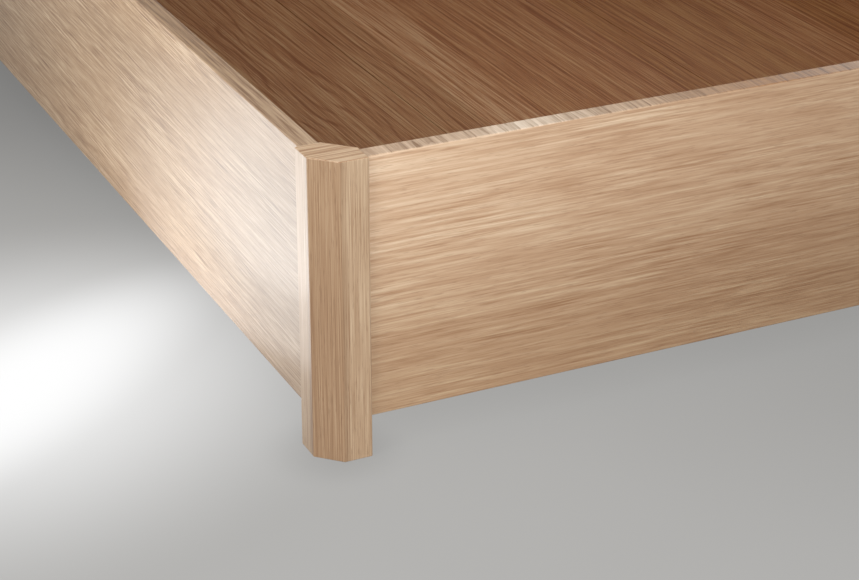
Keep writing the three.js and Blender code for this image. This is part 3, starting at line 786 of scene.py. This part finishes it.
side_cap = lengthwise_cap("Y", SIDE_CAP_TONES, SIDE_CAP_PAINTED_SHADE)
oak_cross = oak("oak_cross", "X", CROSS_PLAN, RAIL_TONES, banded_cap, CROSS_PAINTED_LIGHT)
oak_side = oak("oak_side", "Y", SIDE_PLAN, SIDE_TONES, side_cap, SIDE_PAINTED_LIGHT, SIDE_LEAN, SIDE_OFFSET)
pine_cross = pine("pine_cross", "X")
pine_side = pine("pine_side", "Y")
black = powder_coat()
zinc = metal("zinc_plate", ZINC_TONES, ZINC_MARK_SIZES, roughness=0.34, relief=0.02 * MM)
chrome = metal("chrome", CHROME_TONES, CHROME_MARK_SIZES, roughness=0.12, relief=0.004 * MM)
plastic = moulded_plastic()

DRESSING = [
    ("post_", post_oak()),
    ("side_rail", oak_side),
    ("foot_rail", oak_cross),
    ("head_rail", oak_cross),
    ("floor_panel", floor_oak()),
    ("floor_cleat_left", pine_side),
    ("floor_cleat_right", pine_side),
    ("floor_cleat", pine_cross),
    ("floor_beam", pine_side),
    ("lid_rest_foot", pine_cross),
    ("lid_rest", pine_side),
    ("corner_brace", zinc),
    ("lift_plate", black),
    ("slat_", slat_wood()),
    ("lid_", black),
]

# Materials of the finer pieces, by slot.
SLOT_MATERIALS = {"black_steel": black, "zinc_steel": zinc, "chrome_rod": chrome, "plastic": plastic}


def dress_nodes():
    for name, node in frame["nodes"].items():
        finish = next((material for start, material in DRESSING if name.startswith(start)), None)
        if finish:
            node.material_slots[0].material = finish


# Studio. Edges of soft spots are the distances, in spreads, where they start and where they are full.

BACKDROP = (0.72, 0.72, 0.705)
FADE_EDGES = (2.5, 9.0)
GROUND_HALF = 30.0
GROUND_GREY = (0.442, 0.437, 0.426)
GROUND_ROUGHNESS = 0.6
GROUND_OWN_SHARE = 0.9
SPECK = 0.5
SPECK_SHARE = 0.02
GLOW_PLACE = (-1.0, -0.66, 0.0)
GLOW_TURN = 0.633
GLOW_CORE = (0.469, 0.167, 1.0)
GLOW_CORE_EDGES = (1.0, 0.15)
GLOW_HALO = (0.578, 0.474, 1.0)
GLOW_HALO_EDGES = (1.0, 0.0)
GLOW_HALO_SHARE = 0.85
SHADES = [((-0.2, 0.6, 0.0), 0.53), ((0.55, -0.85, 0.0), 0.2)]
SHADE_EDGES = (1.35, 0.4)
POST_SHADE_PLACE = (0.688, 0.958, 0.0)
POST_SHADE_EDGES = (0.1, 0.02)
POST_SHADE = 0.15


def soft_spot(graph, edges, centre=ORIGIN, spread=UNSCALED, turn=0.0, vector=None):
    """A share that goes smoothly from 0 to 1 between two distances from a centre on the ground."""
    source = graph.place if vector is None else vector
    place = graph.scaled(source, spread, (0.0, 0.0, turn), centre)
    reach = graph.node("ShaderNodeVectorMath", {0: place}, operation="LENGTH").outputs["Value"]
    return graph.remap(reach, *edges, curve="SMOOTHSTEP")


def ground_shade(graph):
    """How dark the ground is: wide shades under and beside the bed, and a small one at each post's foot."""
    dark = 0.0
    for place, share in SHADES:
        dark = graph.overlaid(dark, graph.times(soft_spot(graph, SHADE_EDGES, place), share))
    mirrored = graph.node("ShaderNodeVectorMath", {0: graph.place}, operation="ABSOLUTE").outputs[0]
    by_post = soft_spot(graph, POST_SHADE_EDGES, POST_SHADE_PLACE, vector=mirrored)
    return graph.overlaid(dark, graph.times(by_post, POST_SHADE))


def studio_floor():
    """Pale grey ground that fades into the backdrop. What is seen of it is mostly its own tone, with soft
    shades and a white glow on the left. The lamps' light on it makes up the rest."""
    graph = Surface("studio_floor")
    far = soft_spot(graph, FADE_EDGES)
    core = soft_spot(graph, GLOW_CORE_EDGES, GLOW_PLACE, GLOW_CORE, GLOW_TURN)
    halo = soft_spot(graph, GLOW_HALO_EDGES, GLOW_PLACE, GLOW_HALO, GLOW_TURN)
    glow = graph.overlaid(core, graph.times(halo, GLOW_HALO_SHARE))
    specks = graph.remap(graph.grain(even(SPECK)), *TONE_RANGE, 0.0, SPECK_SHARE)
    grey = graph.mixed(specks, GROUND_GREY, WHITE)
    colour = graph.mixed(ground_shade(graph), grey, BLACK)
    colour = graph.mixed(far, colour, BACKDROP)
    colour = graph.mixed(glow, colour, WHITE)
    own_share = graph.remap(graph.maths("MAXIMUM", far, glow), 0.0, 1.0, GROUND_OWN_SHARE, 1.0)
    lit = graph.node("ShaderNodeBsdfPrincipled", {"Base Color": grey, "Roughness": GROUND_ROUGHNESS})
    own = graph.node("ShaderNodeEmission", {"Color": colour, "Strength": 1.0})
    shader = graph.mixed_shader(graph.times(graph.sight(), own_share), lit, own)
    graph.node("ShaderNodeOutputMaterial", {"Surface": shader})
    return graph.block


def add_floor():
    mesh = bpy.data.meshes.new("studio_floor")
    corners = [(x * GROUND_HALF, y * GROUND_HALF, 0.0) for x, y in ((-1, -1), (1, -1), (1, 1), (-1, 1))]
    mesh.from_pydata(corners, [], [(0, 1, 2, 3)])
    mesh.materials.append(studio_floor())
    link("studio_floor", mesh)


def add_world():
    """Even white light. The backdrop's tone is what is seen of the world."""
    world = bpy.data.worlds.new("studio")
    bpy.context.scene.world = world
    graph = Graph(world)
    light = graph.node("ShaderNodeBackground", {"Color": opaque(WHITE), "Strength": WORLD_LIGHT})
    backdrop = graph.node("ShaderNodeBackground", {"Color": opaque(BACKDROP)})
    graph.node("ShaderNodeOutputWorld", {"Surface": graph.mixed_shader(graph.sight(), light, backdrop)})


def add_lamps():
    for name, plan in LAMPS.items():
        lamp = bpy.data.lights.new(name, "AREA")
        lamp.shape = "DISK"
        lamp.size = plan["size"]
        lamp.energy = plan["power"]
        holder = link(name, lamp)
        holder.location = plan["place"]
        holder.visible_glossy = plan["sheen"]
        holder.rotation_mode = "QUATERNION"
        holder.rotation_quaternion = (Vector(plan["aim"]) - holder.location).to_track_quat("-Z", "Y")


def add_low_panels():
    """Soft panels just above the ground at the left. They face up, and the camera doesn't see them."""
    for name, plan in PANELS.items():
        lamp = bpy.data.lights.new(name, "AREA")
        lamp.shape = "ELLIPSE"
        lamp.size, lamp.size_y = plan["size"]
        lamp.energy = plan["power"]
        holder = link(name, lamp)
        holder.location = plan["place"]
        holder.rotation_euler = Euler((math.pi, 0.0, PANEL_TURN))
        holder.visible_camera = False


def add_camera():
    camera = bpy.data.cameras.new("camera")
    camera.sensor_width = CAMERA_SENSOR
    camera.lens = FOCAL_PIXELS / PICTURE_WIDTH * CAMERA_SENSOR
    holder = link("camera", camera)
    holder.location = CAMERA_PLACE
    holder.rotation_euler = Euler((math.pi / 2 - CAMERA_PITCH, 0.0, CAMERA_YAW))
    bpy.context.scene.camera = holder


# Helpers for meshes and pieces.


def outline_radius(shape, angle):
    """How far a shape's edge lies from its middle at an angle. Flat sides and ends of arms are 1 from it."""
    if shape == "cross":
        quarter = abs((angle + math.pi / 4) % (math.pi / 2) - math.pi / 4)
        if math.tan(quarter) <= CROSS_ARM_SHARE:
            return 1.0 / math.cos(quarter)
        return CROSS_ARM_SHARE / math.sin(quarter)
    if shape:
        slice_angle = 2 * math.pi / shape
        return 1.0 / math.cos((angle + slice_angle / 2) % slice_angle - slice_angle / 2)
    return 1.0


def turned(profile, steps=ROUND_STEPS, closed=False):
    """A solid turned about Z. Profile entries are (radius, height) or (radius, height, shape). A shape is
    "cross" or a number of flat sides."""
    solid = bmesh.new()
    rings = []
    for radius, height, *shape in profile:
        if radius == 0:
            rings.append([solid.verts.new((0.0, 0.0, height))] * steps)
            continue
        ring = []
        for i in range(steps):
            angle = 2 * math.pi * i / steps
            reach = radius * outline_radius(shape[0] if shape else None, angle)
            ring.append(solid.verts.new((reach * math.cos(angle), reach * math.sin(angle), height)))
        rings.append(ring)
    pairs = list(zip(rings, rings[1:]))
    if closed:
        pairs.append((rings[-1], rings[0]))
    for low, high in pairs:
        for i in range(steps):
            j = (i + 1) % steps
            corners = list(dict.fromkeys((low[i], low[j], high[j], high[i])))
            if len(corners) > 2:
                solid.faces.new(corners)
    bmesh.ops.recalc_face_normals(solid, faces=solid.faces)
    return solid


def joined(parts):
    """One mesh of several (solid, matrix) pairs."""
    whole = bmesh.new()
    for solid, matrix in parts:
        solid.transform(matrix)
        held = bpy.data.meshes.new("held")
        solid.to_mesh(held)
        solid.free()
        whole.from_mesh(held)
        bpy.data.meshes.remove(held)
    return whole


def add_piece(name, parts, body, slot, replaced=None):
    whole = joined(parts)
    for face in whole.faces:
        face.smooth = True
    for edge in whole.edges:
        edge.smooth = edge.calc_face_angle(math.pi) < SHARP_ANGLE
    mesh = bpy.data.meshes.new(name)
    whole.to_mesh(mesh)
    whole.free()
    mesh.materials.append(SLOT_MATERIALS[slot])
    piece = link(name, mesh)
    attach(piece, body)
    if replaced:
        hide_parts(replaced)


def aimed(place, normal):
    """Puts a turned solid's base at a place, with its axis along the normal."""
    turn = Vector(normal).to_track_quat("Z", "Y").to_matrix().to_4x4()
    return Matrix.Translation(place) @ turn


def middle_of(name):
    low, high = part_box(name)
    return (low + high) / 2


# Finer pieces that replace nodes of the part.


def eye():
    """Eye of a strut's end, with its hole along X."""
    half = EYE_THICK / 2
    ease = EYE_EASE
    profile = [
        (EYE_BORE, -half + ease / 2),
        (EYE_BORE + ease / 2, -half),
        (EYE_RADIUS - ease, -half),
        (EYE_RADIUS, -half + ease),
        (EYE_RADIUS, half - ease),
        (EYE_RADIUS - ease, half),
        (EYE_BORE + ease / 2, half),
        (EYE_BORE, half - ease / 2),
    ]
    solid = turned(profile, closed=True)
    solid.transform(Matrix.Rotation(math.pi / 2, 4, "Y"))
    return solid


def neck_profile(radius, shoulder):
    """A strut's neck and the cone to a wider radius. The shoulder says how far its corner is cut back."""
    cone_end = EYE_RADIUS + radius - NECK_RADIUS
    cut, rounded = shoulder
    return [
        (0, NECK_START),
        (NECK_RADIUS, NECK_START),
        (NECK_RADIUS, EYE_RADIUS),
        (radius - cut, cone_end - cut),
        (radius, cone_end + rounded),
    ]


def cylinder_profile(length):
    groove = CYLINDER_RADIUS - GROOVE_DEPTH
    groove_start = length - GROOVE_FROM_END
    groove_end = groove_start + GROOVE_WIDTH
    guide = ROD_RADIUS + GUIDE_GAP
    bore_end = EYE_RADIUS + CYLINDER_END_WALL
    return [
        *neck_profile(CYLINDER_RADIUS, CYLINDER_SHOULDER),
        (CYLINDER_RADIUS, groove_start),
        (groove, groove_start + GROOVE_SLOPE),
        (groove, groove_end - GROOVE_SLOPE),
        (CYLINDER_RADIUS, groove_end),
        (CYLINDER_RADIUS, length - 2 * CYLINDER_MOUTH),
        (CYLINDER_RADIUS - CYLINDER_LIP, length - CYLINDER_MOUTH),
        (CYLINDER_RADIUS - CYLINDER_MOUTH, length),
        (guide, length),
        (guide, length - GUIDE_LENGTH),
        (CYLINDER_BORE, length - GUIDE_LENGTH),
        (CYLINDER_BORE, bore_end),
        (0, bore_end),
    ]


def rod_profile(length):
    piston = CYLINDER_BORE - GUIDE_GAP
    return [
        *neck_profile(COLLAR_RADIUS, COLLAR_SHOULDER),
        (COLLAR_RADIUS, EYE_NECK - COLLAR_EASE),
        (COLLAR_RADIUS - COLLAR_EASE, EYE_NECK),
        (ROD_RADIUS, EYE_NECK),
        (ROD_RADIUS, length - PISTON_LENGTH),
        (piston, length - PISTON_LENGTH),
        (piston, length),
        (0, length),
    ]


def add_struts():
    """Each strut's cylinder and rod, as long as the shut and the open lid need."""
    for side in SIDES:
        foot = joint_place(f"strut_foot_pivot_{side}")
        head = joint_place(f"strut_head_pivot_{side}")
        arm = head - Vector((head.x, LID_PIVOT.y, LID_PIVOT.z))
        shut_head = head - arm + Matrix.Rotation(OPEN_ANGLE, 3, "X") @ arm
        cylinder_length = (shut_head - foot).length - EYE_NECK - ROD_STAND_OFF
        rod_length = (head - foot).length - cylinder_length + ROD_OVERLAP
        for name, slot, start, end, profile in (
            (f"strut_cylinder_{side}", "black_steel", foot, head, cylinder_profile(cylinder_length)),
            (f"strut_rod_{side}", "chrome_rod", head, foot, rod_profile(rod_length)),
        ):
            along = (end - start).normalized()
            cross = Vector((1.0, 0.0, 0.0))
            turn = Matrix((cross, along.cross(cross), along)).transposed().to_4x4()
            place = Matrix.Translation(start) @ turn
            add_piece(f"fine_{name}", [(eye(), place), (turned(profile), place)], name, slot, name)


def pin_profile():
    """Shoulder pin, from the bed's middle outward: domed head with a hex socket, shank, collar and end."""
    start = PIN_HEAD_END - PIN_HEAD_THICK
    floor = start + PIN_SOCKET_DEPTH
    inset, rise = (share * PIN_DOME for share in PIN_DOME_SHARES)
    return [
        (0, floor),
        (PIN_SOCKET - PIN_SOCKET_EASE, floor - PIN_SOCKET_EASE, HEX),
        (PIN_SOCKET, start, HEX),
        (PIN_HEAD_RADIUS - PIN_DOME, start),
        (PIN_HEAD_RADIUS - inset, start + rise),
        (PIN_HEAD_RADIUS, start + PIN_DOME),
        (PIN_HEAD_RADIUS, PIN_HEAD_END),
        (PIN_RADIUS, PIN_HEAD_END),
        (PIN_RADIUS, PIN_COLLAR_START),
        (PIN_HEAD_RADIUS, PIN_COLLAR_START),
        (PIN_HEAD_RADIUS, PIN_COLLAR_END),
        (PIN_RADIUS, PIN_COLLAR_END),
        (PIN_RADIUS, PIN_END),
        (0, PIN_END),
    ]


def add_pins():
    for side, sign in SIDES.items():
        parts = [(turned(pin_profile()), aimed(LID_PIVOT, (sign, 0.0, 0.0)))]
        add_piece(f"fine_pivot_pin_{side}", parts, "bed_frame", "zinc_steel", f"pivot_pin_{side}")


def thread(start, end, core_share, crest_share):
    """Ridges from start to end, with core and crest at shares of the pitch."""
    points = []
    height = start
    while height < end - THREAD_PITCH:
        points.append((BOLT_CORE, height + core_share * THREAD_PITCH))
        points.append((BOLT_RADIUS, height + crest_share * THREAD_PITCH))
        height += THREAD_PITCH
    return points


def bolt_profile():
    """Threaded shank, washer and nut."""
    nut_end = BOLT_HALF - BOLT_TAIL
    nut = nut_end - NUT_HEIGHT
    washer = nut - WASHER_THICK
    return [
        (0, -BOLT_HALF),
        *thread(-BOLT_HALF, washer, 0.0, 0.5),
        (BOLT_RADIUS, washer),
        (WASHER_RADIUS - WASHER_EASE, washer),
        (WASHER_RADIUS, washer + WASHER_EASE),
        (WASHER_RADIUS, nut - WASHER_EASE),
        (WASHER_RADIUS - WASHER_EASE, nut),
        (NUT_FLAT, nut),
        (NUT_FLAT, nut + NUT_EASES[0], HEX),
        (NUT_FLAT, nut_end - NUT_EASES[1], HEX),
        (NUT_FLAT, nut_end),
        (BOLT_RADIUS, nut_end),
        *thread(nut_end, BOLT_HALF, 0.5, 1.0),
        (BOLT_CORE, BOLT_HALF),
        (0, BOLT_HALF),
    ]


def add_bolts():
    for end, end_sign in ENDS.items():
        for side, side_sign in SIDES.items():
            name = f"hanger_bolt_{end}_{side}"
            inward = Vector((-side_sign, -end_sign, 0.0)).normalized()
            parts = [(turned(bolt_profile()), aimed(middle_of(name), inward))]
            add_piece(f"fine_{name}", parts, "bed_frame", "zinc_steel", name)


def foot_profile():
    """Round foot: a flange at each end and a stem between them."""
    neck = [(share * (FOOT_FLANGE - FOOT_STEM), height) for share, height in FOOT_NECK]
    upward = FOOT_BASE_EASE + neck
    downward = neck[::-1] + FOOT_TOP_EASE
    return [
        (0, 0),
        *((FOOT_FLANGE - inset, height) for inset, height in upward),
        *((FOOT_FLANGE - inset, FOOT_HEIGHT - height) for inset, height in downward),
        (0, FOOT_HEIGHT),
    ]


def add_feet():
    for side in SIDES:
        name = f"centre_foot_{side}"
        middle = middle_of(name)
        parts = [(turned(foot_profile()), Matrix.Translation((middle.x, middle.y, 0.0)))]
        add_piece(f"fine_{name}", parts, "bed_frame", "plastic", name)


# Screws, bolts and plugs.


def screw_head(radius):
    """Low domed head with a cross recess."""
    height = SCREW_RISE_SHARE * radius
    profile = [(radius, -SCREW_SINK)]
    for radius_share, height_share, *shape in SCREW_SHARES:
        profile.append((radius_share * radius, height_share * height, *shape))
    return turned(profile, steps=SCREW_STEPS)


def add_screws(name, radius, heads, body):
    """One piece of all the heads, given as (place, normal)."""
    parts = [(screw_head(radius), aimed(place, normal)) for place, normal in heads]
    add_piece(name, parts, body, "zinc_steel")


def add_frame_screws():
    heads = []
    for sign in SIDES.values():
        for end_sign in ENDS.values():
            for along in BRACE_SCREWS:
                y = INNER_Y - along
                heads.append(((sign * BRACE_FACE_X, end_sign * y, BRACE_SCREW_Z), (-sign, 0, 0)))
            for along in BRACE_SCREWS:
                x = INNER_X - along
                heads.append(((sign * x, end_sign * BRACE_FACE_Y, BRACE_SCREW_Z), (0, -end_sign, 0)))
        for y, z in PLATE_SCREWS:
            heads.append(((sign * PLATE_FACE_X, LID_PIVOT.y + y, LID_PIVOT.z + z), (-sign, 0, 0)))
    add_screws("frame_screws", FRAME_SCREW_RADIUS, heads, "bed_frame")


def add_batten_screws():
    """A row of heads on each batten, on its face towards the bed's middle."""
    heads = []
    for name, axis, step in BATTENS:
        low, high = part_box(name)
        inward = 1 - axis
        outer_side = low[inward] > 0
        normal = Vector()
        normal[inward] = -1.0 if outer_side else 1.0
        count = round((high[axis] - low[axis]) / step)
        row = high[axis] - low[axis] - 2 * BATTEN_SCREW_INSET
        for i in range(count + 1):
            place = (low + high) / 2
            place[axis] = low[axis] + BATTEN_SCREW_INSET + row * i / count
            place[inward] = low[inward] if outer_side else high[inward]
            heads.append((place, normal))
    add_screws("batten_screws", BATTEN_SCREW_RADIUS, heads, "bed_frame")


def add_slat_bolts(opened):
    up = opened.to_3x3() @ Vector((0.0, 0.0, 1.0))
    heads = []
    for name in frame["nodes"]:
        if name.startswith("slat_"):
            top = middle_of(name) + up * SLAT_THICK / 2
            heads += [(top + Vector((x, 0.0, 0.0)), up) for x in SLAT_BOLTS_X]
    add_screws("slat_bolts", LID_BOLT_RADIUS, heads, "lid")


def plug_profile():
    """Square plug with a thin domed cap. Heights are counted outward from the tube's end."""
    lead_inset, lead_length = PLUG_LEAD
    ease_inset, ease_height = PLUG_CAP_EASE
    return [
        (0, -PLUG_DEPTH),
        (PLUG_HALF - lead_inset, -PLUG_DEPTH, PLUG_SIDES),
        (PLUG_HALF, -PLUG_DEPTH + lead_length, PLUG_SIDES),
        (PLUG_HALF, PLUG_STAND_OFF, PLUG_SIDES),
        (PLUG_CAP_HALF, PLUG_STAND_OFF, PLUG_SIDES),
        (PLUG_CAP_HALF, PLUG_CAP_EDGE, PLUG_SIDES),
        (PLUG_CAP_HALF - ease_inset, PLUG_CAP_EDGE + ease_height, PLUG_SIDES),
        (0, PLUG_DOME),
    ]


def add_lid_trim(opened):
    """Bolts of the lid's brackets, and plugs in the ends of its side tubes."""
    bolts = []
    plugs = []
    for sign in SIDES.values():
        for y in BRACKET_BOLTS_Y:
            place = aimed((sign * BRACKET_FACE_X, y, 0.0), (-sign, 0, 0))
            bolts.append((screw_head(LID_BOLT_RADIUS), opened @ place))
        for y, direction in ((LID_FOOT_Y, -1), (LID_HEAD_Y, 1)):
            place = aimed((sign * SIDE_TUBE_X, y, 0.0), (0, direction, 0))
            plugs.append((turned(plug_profile()), opened @ place))
    add_piece("bracket_bolts", bolts, "lid", "zinc_steel")
    add_piece("tube_plugs", plugs, "lid", "plastic")


dress_nodes()
add_struts()
add_pins()
add_bolts()
add_feet()
add_frame_screws()
add_batten_screws()
open_lid = Matrix.Translation(LID_PIVOT) @ Matrix.Rotation(-OPEN_ANGLE, 4, "X")
add_slat_bolts(open_lid)
add_lid_trim(open_lid)
add_world()
add_floor()
add_lamps()
add_low_panels()
add_camera()

scene = bpy.context.scene
scene.view_settings.view_transform = "Standard"
